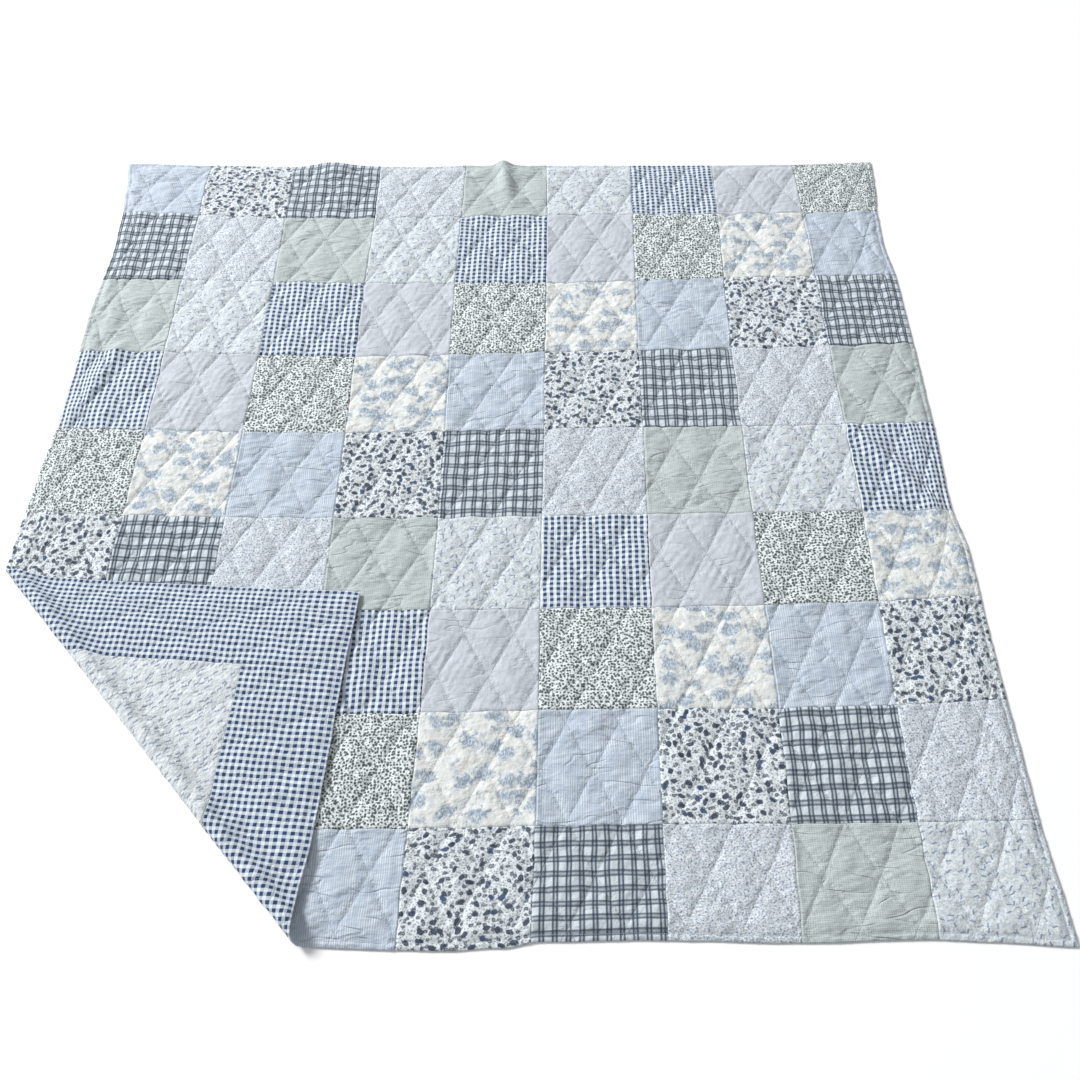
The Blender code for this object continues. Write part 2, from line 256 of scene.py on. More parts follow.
def fold_profile(past):
    """Distance out, height and slope of the seam plane at arc lengths past the fold."""
    top = math.pi + SETTLE_ANGLE
    turn = np.clip(past, 0, ROLL_LENGTH) / ROLL_RADIUS
    settle = np.clip(past - ROLL_LENGTH, 0, SETTLE_LENGTH) / SETTLE_RADIUS
    out = np.minimum(past, 0) + ROLL_RADIUS * np.sin(turn) - np.maximum(past - FOLD_LENGTH, 0)
    out += SETTLE_RADIUS * (math.sin(top) - np.sin(top - settle))
    height = ROLL_RADIUS * (1 - np.cos(turn))
    height += SETTLE_RADIUS * (np.cos(top - settle) - math.cos(top))
    return out, height, turn - settle


FLAP_SHIFT = FOLD_LENGTH + float(fold_profile(np.array(FOLD_LENGTH))[0])


def covered(x, y):
    """How far inside the flap's outline a point of the laid cloth lies."""
    past = beyond_fold(x, y)
    across = np.where(past > 0, 0, FLAP_SHIFT - 2 * past)
    return to_hem(x + FOLD_OUT.x * across, y + FOLD_OUT.y * across)


def lift(x, y):
    """Height of the ridges where the laid cloth stands off the floor."""
    total = np.zeros_like(x)
    for (x0, y0), (x1, y1), high, low, width in RIDGES:
        run_x, run_y = x1 - x0, y1 - y0
        length = math.hypot(run_x, run_y)
        share = ((x - x0) * run_x + (y - y0) * run_y) / length ** 2
        aside = ((x - x0) * run_y - (y - y0) * run_x) / length
        beyond = np.maximum(0, np.maximum(-share, share - 1)) * length
        height = high + (low - high) * np.clip(share, 0, 1)
        total += height * np.exp(-2 * (aside / width) ** 2) * (1 - smooth(beyond / RIDGE_FADE))
    return total


def placed(x, y, offset):
    """Points in space for points of the flat quilt and their heights over the seam plane."""
    laid_x, laid_y = drawn(x, y)
    past = beyond_fold(laid_x, laid_y)
    out, height, slope = fold_profile(past)
    height += BACKING + PLY_GAP / 2
    lifted = lift(laid_x, laid_y) * (1 - smooth(covered(laid_x, laid_y) / HEM_FLAT))
    height += np.where(past > 0, 0, lifted)
    droop = FLAP_DROOP * smooth((past - FOLD_LENGTH) / DROOP_REACH)
    height -= droop * (1 - smooth(to_hem(x, y) / DROOP_REACH))
    across = out - past - np.sin(slope) * offset
    return np.column_stack((
        laid_x + FOLD_OUT.x * across,
        laid_y + FOLD_OUT.y * across + SEAM_SHIFT,
        height + np.cos(slope) * offset,
    ))


def hem_profile(x, y, full):
    """The share of its height that a face keeps near the hem: round at the edge and drawn
    down along the topstitching."""
    inside = to_hem(x, y)
    edge = np.sqrt(np.clip(inside / 0.006, 0, 1))
    stitched = np.exp(-((inside - TOPSTITCH) / 0.0026) ** 2)
    return (0.15 + 0.85 * edge) * (1 - 0.45 * stitched) * full


def patch_sides(column, row):
    """The ends of a patch's near, right, far and left sides, and which of them are hems."""
    corners = [
        CROSSINGS[row + 1, column], CROSSINGS[row + 1, column + 1],
        CROSSINGS[row, column + 1], CROSSINGS[row, column],
    ]
    return zip(corners, corners[1:] + corners[:1], (row == 8, column == 8, row == 0, column == 0))


def side_distances(x, y, number):
    """Distances from points to the four sides of the patches that they belong to, and the
    distance to the nearest side that is a seam."""
    distances, seam = [], np.full(x.shape, 1.0)
    for start, end, hem in patch_sides(number % 9, number // 9):
        run, past = end - start, np.column_stack((x, y)) - start
        distance = (run[:, 0] * past[:, 1] - run[:, 1] * past[:, 0]) / np.hypot(*run.T)
        distances.append(distance)
        seam = np.where(hem, seam, np.minimum(seam, np.abs(distance)))
    return distances, seam


def line_distance(x, y):
    """Distance to the nearest quilting line."""
    rising, falling = phases(x, y)
    rising, falling = np.abs(rising - np.round(rising)), np.abs(falling - np.round(falling))
    return np.minimum(rising, falling) * LINE_GAP


def gathers(x, y, seed):
    """Small folds across the quilting lines, where their thread draws the cloth up."""
    rising, falling = phases(x, y)
    total = np.zeros_like(x)
    for number, (phase, lean) in enumerate(((rising, 1), (falling, -1))):
        heading = math.atan2(DIAMOND_LENGTH * lean, DIAMOND_WIDTH)
        folds = ripples(x, y, seed + number, 0.017, 0.034, heading, 0.7)
        total += folds * np.exp(-np.abs(phase - np.round(phase)) * LINE_GAP / 0.018)
    return total


def top_face(x, y, number, creases):
    """Height of the patchwork's face over the seam plane."""
    laid_x, laid_y = drawn(x, y)
    past = beyond_fold(laid_x, laid_y)
    pressed = PRESSED * smooth(covered(laid_x, laid_y) / HEM_FLAT)
    on_roll = smooth(past / HEM_FLAT + 1) * (1 - smooth((past - FOLD_LENGTH) / HEM_FLAT))
    even = ROLL_FILL * smooth(to_hem(x, y) / HEM_FLAT)
    fill = puff(x, y) * (1 - pressed) * (1 - on_roll) + even * on_roll
    free = (1 - pressed) * (1 - on_roll)
    seam = side_distances(x, y, number)[1]
    ditch = 0.0014 * np.exp(-(seam / 0.0022) ** 2)
    allowance = 0.0005 * smooth((0.011 - seam) / 0.004)
    small = 0.0009 * gathers(x, y, 5)
    small += 0.0009 * ripples(x, y, 16, 0.018, 0.036) * np.exp(-seam / 0.016)
    small += 0.0010 * ripples(x, y, 17, 0.018, 0.034) * np.exp(-to_hem(x, y) / 0.025)
    soft = 0.0007 * ripples(x, y, 18, 0.03, 0.07)
    inner = smooth(seam / 0.012) * smooth(to_hem(x, y) / 0.02)
    height = PLY_GAP / 2 + SEWN + CROWN * fill + free * (small + soft + creases * inner)
    height = height - ditch + allowance
    return np.maximum(hem_profile(x, y, height), PLY_GAP / 2 + 0.0003)


def free_back(x, y):
    """How far the back swells, which it does only on the flap, where nothing presses on it."""
    past = beyond_fold(*drawn(x, y))
    return BACK_PUFF * puff(x, y) * smooth((past - FOLD_LENGTH) / HEM_FLAT)


def top_underside(x, y):
    return PLY_GAP / 2 - free_back(x, y)


def lattice_grid(corners, threads):
    """A flat piece of cloth inside its corners, its mesh running along the quilting lines."""
    spans = []
    for ends in zip(*(phases(x, y) for x, y in corners)):
        low, high = math.floor(min(ends) * threads), math.ceil(max(ends) * threads)
        spans.append(((low + high) / 2 / threads, high - low))
    (rising, along), (falling, athwart) = spans
    cloth = bmesh.new()
    bmesh.ops.create_grid(cloth, x_segments=along, y_segments=athwart, size=0.5)
    wide, long = DIAMOND_WIDTH / 2 / threads, DIAMOND_LENGTH / 2 / threads
    rising, falling = rising + RISING_START, falling + FALLING_START
    middle_x = (rising + falling) * DIAMOND_WIDTH / 2 - HALF
    middle_y = HALF - (rising - falling) * DIAMOND_LENGTH / 2
    shear = Matrix((
        (wide * along, wide * athwart, 0, middle_x),
        (-long * along, long * athwart, 0, middle_y),
        (0, 0, 1, 0),
        (0, 0, 0, 1),
    ))
    bmesh.ops.transform(cloth, matrix=shear, verts=cloth.verts)
    return cloth


def trim_side(cloth, start, end, cuts, gap=0.0):
    """Trims cloth along a side, and adds mesh lines at some distances inside it."""
    run = (end - start) / math.hypot(*(end - start))
    inward = np.array((-run[1], run[0]))
    cut(cloth, start + inward * gap, -inward, True)
    for depth in cuts:
        cut(cloth, start + inward * depth, inward)


def cut(cloth, point, normal, trim=False):
    bmesh.ops.bisect_plane(
        cloth, geom=[*cloth.verts, *cloth.edges, *cloth.faces], dist=2e-5,
        plane_co=(*point, 0), plane_no=(*normal, 0), clear_outer=trim,
    )


def thicken(cloth, shares_of):
    """Gives flat cloth its two faces, 0 and 1 in height, and joins the faces of each level share
    of it into one. shares_of numbers the shares, below 0 where the mesh stays fine."""
    lower = set(cloth.verts)
    bmesh.ops.extrude_face_region(cloth, geom=cloth.faces[:], use_keep_orig=True)
    for vertex in cloth.verts:
        vertex.co.z = 0 if vertex in lower else 1
    bmesh.ops.recalc_face_normals(cloth, faces=cloth.faces[:])
    middles = np.array([face.calc_center_median() for face in cloth.faces])
    shares = dict(zip(cloth.faces, shares_of(*middles.T)))
    inner = []
    for edge in cloth.edges:
        ends = [shares[face] for face in edge.link_faces]
        if len(ends) == 2 and ends[0] >= 0 and ends[0] == ends[1]:
            inner.append(edge)
    bmesh.ops.dissolve_edges(cloth, edges=inner, use_verts=False)


def rises(x, y):
    """Where the cloth leaves the floor, on a ridge or at the fold."""
    return (beyond_fold(x, y) > -0.06) | (lift(x, y) > 0.0002)


def cut_patch(column, row):
    """One patch of the top with its filling, closed, at its place in the flat quilt."""
    sides = list(patch_sides(column, row))
    patch = lattice_grid([start for start, _, _ in sides], THREADS_A_DIAMOND)
    for start, end, hem in sides:
        trim_side(patch, start, end, HEM_CUTS if hem else SEAM_CUTS, 0.0 if hem else SEAM_GAP)

    def shares_of(x, y, z):
        return np.where((z > 0) | np.any(rises(x, y)), -1, 0)

    thicken(patch, shares_of)
    number = patch.verts.layers.int.new("patch")
    for corner in patch.verts:
        corner[number] = row * 9 + column
    return patch


def as_cloth(name, cloth, heights, threads_of, material):
    """Lays a flat, thickened cloth as an object, with a map of its threads in metres and a map
    of the quilting lines."""
    mesh = bpy.data.meshes.new(name)
    cloth.to_mesh(mesh)
    cloth.free()
    points = np.empty(len(mesh.vertices) * 3)
    mesh.vertices.foreach_get("co", points)
    x, y, layer = points.reshape(-1, 3).T
    number = np.zeros(len(x), dtype=np.int32)
    if "patch" in mesh.attributes:
        mesh.attributes["patch"].data.foreach_get("value", number)
    mesh.vertices.foreach_set("co", placed(x, y, heights(x, y, layer, number)).ravel())
    corners = np.empty(len(mesh.loops), dtype=np.int32)
    mesh.loops.foreach_get("vertex_index", corners)
    for title, spots in (("threads", threads_of(x, y, number)), ("quilting", phases(x, y))):
        chart = mesh.uv_layers.new(name=title)
        chart.data.foreach_set("uv", np.column_stack(spots)[corners].astype(np.float32).ravel())
    mesh.shade_smooth()
    mesh.materials.append(material)
    mesh.update()
    piece = bpy.data.objects.new(name, mesh)
    bpy.context.scene.collection.objects.link(piece)
    return piece


def patch_threads(x, y, number):
    """Each patch's own place on its cloth, cut a little off the straight."""
    dice = np.random.default_rng(11)
    shift_x, shift_y = dice.uniform(0, 3, (2, 81))
    lean = np.radians(dice.uniform(-0.9, 0.9, 81))[number]
    (near, right, far, left), _ = side_distances(x, y, number)
    across, along = left / (left + right) * PITCH, near / (near + far) * PITCH
    u = across * np.cos(lean) - along * np.sin(lean) + shift_x[number]
    v = across * np.sin(lean) + along * np.cos(lean) + shift_y[number]
    return u, v


def sew_patches(cloth_name, material, creases):
    """All the patches of one cloth: every row of the top starts further on in the same order."""
    patches = bmesh.new()
    patches.verts.layers.int.new("patch")
    for row in range(9):
        for column in range(9):
            first = 2 * row + (1 if row >= 5 else 0)
            if CLOTHS[(first + column) % 10] != cloth_name:
                continue
            patch = cut_patch(column, row)
            mesh = bpy.data.meshes.new("patch")
            patch.to_mesh(mesh)
            patch.free()
            patches.from_mesh(mesh)
            bpy.data.meshes.remove(mesh)

    def heights(x, y, layer, number):
        upper = top_face(x, y, number, creases(x, y))
        return np.where(layer > 0.5, upper, np.minimum(top_underside(x, y), upper - 0.0002))

    piece = as_cloth("patches_" + cloth_name, patches, heights, patch_threads, material)
    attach(piece, "root")
    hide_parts("quilted_top")
    return piece


class Dye:
    """A number or colour in a cloth's material. Sums with it add Math nodes to the material."""

    def __init__(self, tree, socket):
        self.tree, self.socket = tree, socket

    def node(self, kind, settings, sockets, output=0):
        made = self.tree.nodes.new("ShaderNode" + kind)
        for setting, value in settings.items():
            setattr(made, setting, value)
        for name, value in sockets.items():
            if isinstance(value, Dye):
                self.tree.links.new(value.socket, made.inputs[name])
            else:
                made.inputs[name].default_value = value
        return Dye(self.tree, made.outputs[output])

    def sum(self, operation, *others, clamp=False):
        sockets = dict(enumerate((self, *others)))
        return self.node("Math", {"operation": operation, "use_clamp": clamp}, sockets)

    def __add__(self, other):
        return self.sum("ADD", other)

    __radd__ = __add__

    def __mul__(self, other):
        return self.sum("MULTIPLY", other)

    __rmul__ = __mul__

    def __sub__(self, other):
        return self.sum("SUBTRACT", other)

    def __rsub__(self, other):
        return (self * -1) + other

    def __truediv__(self, other):
        return self.sum("DIVIDE", other)

    def __pow__(self, other):
        return self.sum("POWER", other)

    def below(self, limit, softness):
        """1 where this is under the limit, 0 where it is over, and a soft step in between."""
        return ((limit - self) / softness + 0.5).sum("ADD", 0.0, clamp=True)

    def above(self, limit, softness):
        return ((self - limit) / softness + 0.5).sum("ADD", 0.0, clamp=True)

    def colour(self, low, high):
        """A colour that goes from low to high as this number goes from 0 to 1."""
        return self.node("Mix", {"data_type": "RGBA"}, {0: self, 6: low, 7: high}, 2)

    def grain(self, size, detail=2.0, rough=0.5, stretch=(1, 1)):
        """Noise with lumps of this size, in metres, on a map."""
        scale = (1 / size / stretch[0], 1 / size / stretch[1], 1)
        spots = self.node("Mapping", {"vector_type": "POINT"}, {"Vector": self, "Scale": scale})
        return self.node(
            "TexNoise", {"noise_dimensions": "2D"},
            {"Vector": spots, "Scale": 1.0, "Detail": detail, "Roughness": rough},
        )

    def part(self, axis):
        return self.node("SeparateXYZ", {}, {0: self}, axis)

    def warped(self, size, reach):
        """This map pushed about by up to half of reach, so that a print's outlines wander."""
        scale = {"Vector": self, "Scale": 1 / size, "Detail": 1.0}
        push = self.node("TexNoise", {"noise_dimensions": "2D"}, scale, 1)
        push = self.node("VectorMath", {"operation": "SUBTRACT"}, {0: push, 1: (0.5, 0.5, 0)})
        push = self.node("VectorMath", {"operation": "SCALE"}, {0: push, 3: reach})
        return self.node("VectorMath", {"operation": "ADD"}, {0: self, 1: push})

    def motifs(self, spacing, seed=0.0, loose=1.0, swing=6.283, lean=0.0):
        """Places for scattered motifs: across and along each motif, turned at random, in
        metres, and two numbers picked for it."""
        shifted = self.node("VectorMath", {"operation": "ADD"}, {0: self, 1: (seed, seed * 0.7, 0)})
        cells = {"Vector": shifted, "Scale": 1 / spacing, "Randomness": loose}
        kind = {"voronoi_dimensions": "2D", "feature": "F1"}
        middle = self.node("TexVoronoi", kind, cells, 2)
        chance = Dye(self.tree, middle.socket.node.outputs["Color"])
        offset = self.node("VectorMath", {"operation": "SUBTRACT"}, {0: shifted, 1: middle})
        turn, pick = chance.part(0), chance.part(1)
        turned = self.node(
            "VectorRotate", {"rotation_type": "Z_AXIS"},
            {"Vector": offset, "Angle": (turn - 0.5) * swing - lean},
        )
        return turned.part(0), turned.part(1), pick, chance.part(2)


def length(across, along):
    return (across * across + along * along) ** 0.5


def petal(across, along, length_, width, softness):
    """An oval: 1 inside it."""
    across, along = across / (width / 2), along / (length_ / 2)
    return (length(across, along) - 1).below(0.0, softness / (width / 2))


def leaf(across, along, length_, width, bend, softness):
    """A bent pointed leaf or dash: 1 inside it."""
    half = length_ / 2
    run = along / half
    spine = across - run * run * bend
    taper = (1 - run * run).sum("MAXIMUM", 0.0) * (width / 2)
    return (spine.sum("ABSOLUTE") - taper).below(0.0, softness)


def cotton(name, dyed, crumple=0.0010, crease_size=0.012, crease_stretch=(1, 1), creased=0.0006):
    """A cotton cloth's material: its colour, weave, washed crinkles and quilting stitches, with painted
    shade darkening its quilting grooves and creases.
    """
    material = bpy.data.materials.new(name)
    material.use_nodes = True
    tree = material.node_tree
    shader = tree.nodes["Principled BSDF"]
    start = Dye(tree, None)
    flat = start.node("UVMap", {"uv_map": "threads"}, {})
    lines = start.node("UVMap", {"uv_map": "quilting"}, {})
    rising, falling = lines.part(0), lines.part(1)
    gap_rising = ((rising + 0.5).sum("FRACT") - 0.5).sum("ABSOLUTE") * LINE_GAP
    gap_falling = ((falling + 0.5).sum("FRACT") - 0.5).sum("ABSOLUTE") * LINE_GAP
    gap = gap_rising.sum("MINIMUM", gap_falling)
    side = math.hypot(DIAMOND_WIDTH, DIAMOND_LENGTH) / 2
    dash_rising = (falling * (side / 0.0034)).sum("FRACT").below(0.66, 0.15)
    dash_falling = (rising * (side / 0.0034)).sum("FRACT").below(0.66, 0.15)
    stitch = (gap_rising.below(0.0005, 0.0003) * dash_rising).sum(
        "MAXIMUM", gap_falling.below(0.0005, 0.0003) * dash_falling)
    groove = gap.below(0.0010, 0.0040)
    wander = (flat.grain(0.045, 1.0, 0.4, (2.6, 0.8)) - 0.5).sum("ABSOLUTE")
    crease = wander.below(0.014, 0.062) * flat.grain(0.060, 1.0, 0.5).above(0.50, 0.16)
    colour = dyed(flat)
    tone_and_painted_shade = (flat.grain(0.045, 4.0, 0.6) - 0.5) * 0.20 + 1.0
    # Painted shade: the colour is made 7 per cent darker along the quilting grooves and 25 times
    # creased darker along the creases, where shade falls in these valleys.
    tone_and_painted_shade = tone_and_painted_shade * (1 - groove * 0.07) * (1 - crease * (25 * creased))
    toned_and_shaded = flat.node("VectorMath", {"operation": "SCALE"}, {0: colour, 3: tone_and_painted_shade})
    sewn = (stitch * 0.35).colour(toned_and_shaded, (0.66, 0.70, 0.76, 1))
    thread = 6.283 / 0.0008
    weave = (flat.part(0) * thread).sum("SINE") * (flat.part(1) * thread).sum("SINE")
    creases = flat.grain(crease_size, 1.5, 0.45, crease_stretch)
    fine = flat.grain(0.0040, 2.0, 0.5)
    gathered = gap.below(0.012, 0.022) * flat.grain(0.0080, 2.0, 0.6)
    height = weave * 0.00004 + (creases - 0.5) * (crumple * 2) + (fine - 0.5) * 0.0003
    height = height + (gathered - 0.25) * 0.0020 - stitch * 0.0002 - groove * 0.0006
    height = height - crease * creased
    bump = flat.node("Bump", {}, {"Strength": 1.0, "Distance": 1.0, "Height": height})
    tree.links.new(sewn.socket, shader.inputs["Base Color"])
    tree.links.new(bump.socket, shader.inputs["Normal"])
    shader.inputs["Roughness"].default_value = 0.9
    shader.inputs["Specular IOR Level"].default_value = 0.2
    shader.inputs["Sheen Weight"].default_value = 0.08
    shader.inputs["Sheen Roughness"].default_value = 0.5
    return material


def blue_stripe(flat):
    """Light blue with fine uneven white stripes and fainter ones across them."""
    lines = (flat.part(0) * (6.283 / 0.0047)).sum("SINE") * 0.5 + 0.5
    uneven = flat.grain(0.0060, 2.0, 0.5, (1, 60)) * flat.grain(0.0300, 1.0, 0.5) * 3.2
    cross = (flat.part(1) * (6.283 / 0.0052)).sum("SINE") * 0.04
    pale = lines * uneven + cross + (flat.grain(0.0025, 2.0, 0.5) - 0.5) * 0.5
    return pale.sum("ADD", 0.0, clamp=True).colour((0.384, 0.457, 0.557, 1), (0.626, 0.676, 0.730, 1))


def level_wrinkles(x, y):
    """Soft wrinkles that run across the patch and rise a little to the right."""
    waves = ripples(x, y, 21, 0.018, 0.045, math.pi / 2 + 0.25, 0.5)
    return 0.0040 * (np.abs(waves) - 0.8) * smooth(ripples(x, y, 22, 0.08, 0.2) + 0.7)


blue_cotton = cotton("blue_cotton", blue_stripe, 0.0009, 0.010, (2.4, 1), 0.0021)
sew_patches("blue", blue_cotton, level_wrinkles)


# The white patches with the large navy flowers: printed cotton, crowded with small grey
# specks, with ring blossoms among them and bigger navy flowers set apart.
def large_floral(flat):
    """White with grey curls, charcoal blossoms and larger navy petals."""
    curls = flat.grain(0.0040, 2.0, 0.7).above(0.53, 0.14)
    wavy = flat.warped(0.012, 0.005)
    across, along, pick, _ = flat.motifs(0.0064, 5.9)
    specks = (length(across, along) - pick * 0.0007).below(0.0013, 0.0010)
    across, along, pick, _ = wavy.motifs(0.0140, 1.7)
    rings = petal(across, along, 0.0092, 0.0068, 0.0016) * pick.above(0.18, 0.05)
    eyes = length(across, along).below(0.0010, 0.0012) * 0.5
    across, along, pick, _ = wavy.motifs(0.0250, 3.3)
    petals = petal(across, along, 0.0146, 0.0096, 0.0014) * pick.above(0.14, 0.05)
    blue = pick.above(0.80, 0.04)
    ground = (curls * 0.30).colour((0.741, 0.793, 0.817, 1), (0.219, 0.261, 0.306, 1))
    speckled = (specks * 0.62).colour(ground, (0.110, 0.140, 0.177, 1))
    ringed = (rings * (0.88 - eyes)).colour(speckled, (0.050, 0.070, 0.102, 1))
    inks = blue.colour((0.039, 0.057, 0.093, 1), (0.037, 0.074, 0.153, 1))
    return (petals * 0.94).colour(ringed, inks)


def soft_rumples(x, y):
    return 0.0010 * ripples(x, y, 23, 0.022, 0.050)


sew_patches("large_floral", cotton("large_flower_cotton", large_floral), soft_rumples)


# The plaid patches: white cotton woven with pairs of charcoal lines each way and greyer
# bands between them.
def band(coordinate, period, middle, width, softness=0.0006):
    """1 on a stripe of this width that comes again after each period."""
    gap = (coordinate / period - (middle - 0.5)).sum("FRACT") - 0.5
    return (gap.sum("ABSOLUTE") * period).below(width / 2, softness)


def plaid_weave(flat):
    def family(line, period, wide, apart, thick, strength):
        lines = band(line, period, 0.5 - apart / period, thick, 0.0016)
        lines = lines + band(line, period, 0.5 + apart / period, thick, 0.0016)
        between = band(line, period, 0.5, wide, 0.0022) * 0.46
        pale = band(line, period, 0.5, 0.0010, 0.0008) * 0.30
        return (between + lines * strength - pale).sum("ADD", 0.0, clamp=True)

    warp = family(flat.part(0), 0.0242, 0.0118, 0.0036, 0.0029, 0.44)
    weft = family(flat.part(1), 0.0315, 0.0142, 0.0048, 0.0038, 0.33)
    slub = flat.grain(0.0022, 2.0, 0.6)
    threads = 1 - (1 - warp) * (1 - weft)
    dyed = (threads + (slub - 0.5) * 0.22).sum("ADD", 0.0, clamp=True)
    return dyed.colour((0.576, 0.637, 0.684, 1), (0.028, 0.048, 0.079, 1))


sew_patches("plaid", cotton("plaid_cotton", plaid_weave), soft_rumples)


# The white patches with the finest print: cotton crowded with blue-grey sprigs and a few
# navy dots.
def fine_floral(flat):
    """Off-white with close blue-grey specks and scattered navy dots."""
    specks = flat.grain(0.0040, 2.0, 0.6).above(0.53, 0.10)
    wash = flat.grain(0.0160, 2.0, 0.5).above(0.52, 0.20)
    across, along, pick, _ = flat.motifs(0.0120, 2.1)
    dots = length(across, along).below(0.0015, 0.0008)
    ground = (wash * 0.35).colour((0.688, 0.721, 0.735, 1), (0.501, 0.568, 0.627, 1))
    sprigs = (specks * 0.72).colour(ground, (0.265, 0.338, 0.454, 1))
    return (dots * 0.8).colour(sprigs, (0.098, 0.139, 0.237, 1))


sew_patches("fine_floral", cotton("fine_sprig_cotton", fine_floral), soft_rumples)


# The green patches: sage cotton woven in a very fine check.
def sage_check(flat):
    one = band(flat.part(0), 0.0042, 0.5, 0.0020, 0.0010)
    two = band(flat.part(1), 0.0042, 0.5, 0.0020, 0.0010)
    slub = flat.grain(0.006, 3.0, 0.6)
    mixed = ((one + two) * 0.38 + (slub - 0.5) * 0.8 + 0.1).sum("ADD", 0.0, clamp=True)
    return mixed.colour((0.556, 0.612, 0.618, 1), (0.348, 0.397, 0.388, 1))


sew_patches("green", cotton("sage_cotton", sage_check, 0.0009, 0.010, (2.4, 1), 0.0021), level_wrinkles)


# The pale patches with the light blue flowers: printed cotton with bent blue dashes, as
# petals, over faint blue clouds.
def wavy_dash(flat, spacing, seed, size, width, swing, lean):
    """Short waved strokes, all lying much the same way."""
    along, across, pick, _ = flat.motifs(spacing, seed, 1.0, swing, lean)
    run = along / (size / 2)
    spine = across - (run * 3.0).sum("SINE") * (width * 0.45)
    taper = (1 - run * run).sum("MAXIMUM", 0.0) * (width / 2)
    return (spine.sum("ABSOLUTE") - taper).below(0.0, 0.0010), pick


def light_floral(flat):
    """Off-white with waved blue strokes over faint blue clouds."""
    dark, pick = wavy_dash(flat, 0.0185, 4.1, 0.0130, 0.0040, 2.4, 0.3)
    light, _ = wavy_dash(flat, 0.0105, 5.3, 0.0080, 0.0034, 3.6, 0.0)
    cloud = flat.grain(0.0100, 2.0, 0.5).above(0.52, 0.16)
    specks = flat.grain(0.0036, 2.0, 0.6).above(0.54, 0.12)
    ground = (cloud * 0.35).colour((0.674, 0.718, 0.726, 1), (0.497, 0.567, 0.629, 1))
    speckled = (specks * 0.42).colour(ground, (0.355, 0.416, 0.472, 1))
    petals = (light * 0.50).colour(speckled, (0.319, 0.390, 0.498, 1))
    return (dark * pick.above(0.22, 0.05) * 0.75).colour(petals, (0.133, 0.196, 0.332, 1))


sew_patches("light_floral", cotton("light_petal_cotton", light_floral), soft_rumples)


# The gingham patches: white cotton woven in even navy checks, dark where two navy bands
# cross.
def gingham(flat, across=0.0147, along=0.0134, warp=0.62, weft=0.26):
    one = band(flat.part(0), across, 0.5, across * 0.52, 0.0008)
    two = band(flat.part(1), along, 0.5, along * 0.52, 0.0008)
    slub = flat.grain(0.0016, 2.0, 0.6) - 0.5
    covered_once = (one * warp + two * weft + slub * 0.12).sum("ADD", 0.0, clamp=True)
    checks = covered_once.colour((0.718, 0.769, 0.807, 1), (0.134, 0.220, 0.385, 1))
    return (one * two * 0.90).colour(checks, (0.012, 0.033, 0.087, 1))


sew_patches("gingham", cotton("gingham_cotton", gingham), soft_rumples)


# The lilac patches: plain lilac-grey cotton, soft and crumpled by washing.
def plain_lilac(flat):
    slub = flat.grain(0.0045, 3.0, 0.6, (1, 3))
    return slub.colour((0.442, 0.471, 0.522, 1), (0.608, 0.641, 0.690, 1))


def crumples(x, y):
    """Folds that run with the rising quilting lines, uneven in width."""
    waves = ripples(x, y, 24, 0.024, 0.050, -0.49, 0.8)
    return 0.0020 * (np.abs(waves) - 0.6) * smooth(ripples(x, y, 25, 0.1, 0.3) + 0.9)


sew_patches("lilac", cotton("lilac_cotton", plain_lilac, 0.0008, 0.014, (1.3, 1), 0.0012), crumples)


# The patches with the small dark flowers: off-white cotton crowded with dark grey-green
# blossoms.
def dark_floral(flat):
    """Off-white crowded with small dark grey-green blossoms, closer together in places."""
    crowd = flat.grain(0.0160, 1.0, 0.5) - 0.5
    across, along, pick, _ = flat.warped(0.006, 0.002).motifs(0.0072, 6.1, 0.72)
    dots = (length(across, along) - crowd * 0.0030 - pick * 0.0008).below(0.0021, 0.0014)
    across, along, pick, _ = flat.motifs(0.0056, 7.7, 0.8)
    bits = length(across, along).below(0.0016, 0.0014) * pick.above(0.20, 0.05)
    ground = (bits * 0.72).colour((0.759, 0.808, 0.816, 1), (0.180, 0.222, 0.214, 1))
    return (dots * 0.95).colour(ground, (0.067, 0.085, 0.082, 1))


sew_patches("dark_floral", cotton("dark_flower_cotton", dark_floral), soft_rumples)


# The cream patches: printed cotton with soft blue leafy clumps, a plain design of no
# one's, in the real print's colours and scale.
def leafy_scene(flat):
    drift = flat.warped(0.018, 0.026)
    across, along, pick, _ = drift.motifs(0.0560, 2.9, 0.75, 0.9)
    clumps = petal(across, along, 0.0270, 0.0440, 0.0160)
    across, along, pick, _ = drift.motifs(0.0330, 4.7, 0.9, 1.6)
    sprays = petal(across, along, 0.0120, 0.0210, 0.0080) * pick.above(0.45, 0.1) * 0.75
    grown = clumps.sum("MAXIMUM", sprays)
    hatch = flat.warped(0.006, 0.003).grain(0.0032, 1.0, 0.5, (0.9, 2.2))
    torn = flat.grain(0.0100, 2.0, 0.6)
    wash = flat.grain(0.0260, 2.0, 0.5, (1.6, 0.8)).above(0.52, 0.20) * torn.above(0.44, 0.30)
    ink = (grown * 0.45 + (torn - 0.5) * 0.9).above(0.26, 0.30) * hatch.above(0.40, 0.34)
    tea = flat.grain(0.0300, 2.0, 0.5).above(0.56, 0.20)
    cream = (tea * 0.5).colour((0.732, 0.749, 0.722, 1), (0.674, 0.666, 0.633, 1))
    ground = (wash.sum("MAXIMUM", grown * 0.6) * 0.48).colour(cream, (0.482, 0.551, 0.614, 1))
    return (ink * 0.78).colour(ground, (0.173, 0.261, 0.387, 1))


sew_patches("scenic", cotton("leafy_cotton", leafy_scene), soft_rumples)


# The middle of the backing: one big panel of off-white cotton, printed with slanting blue
# leaves. It is quilted with the top, and swells only where the folded corner bares it.
BORDER = 0.200
BACK_THREADS = 12
ROLL_STEP = 0.0036
PRINT_LEAN = math.radians(18)  # of the print on the flat cloth


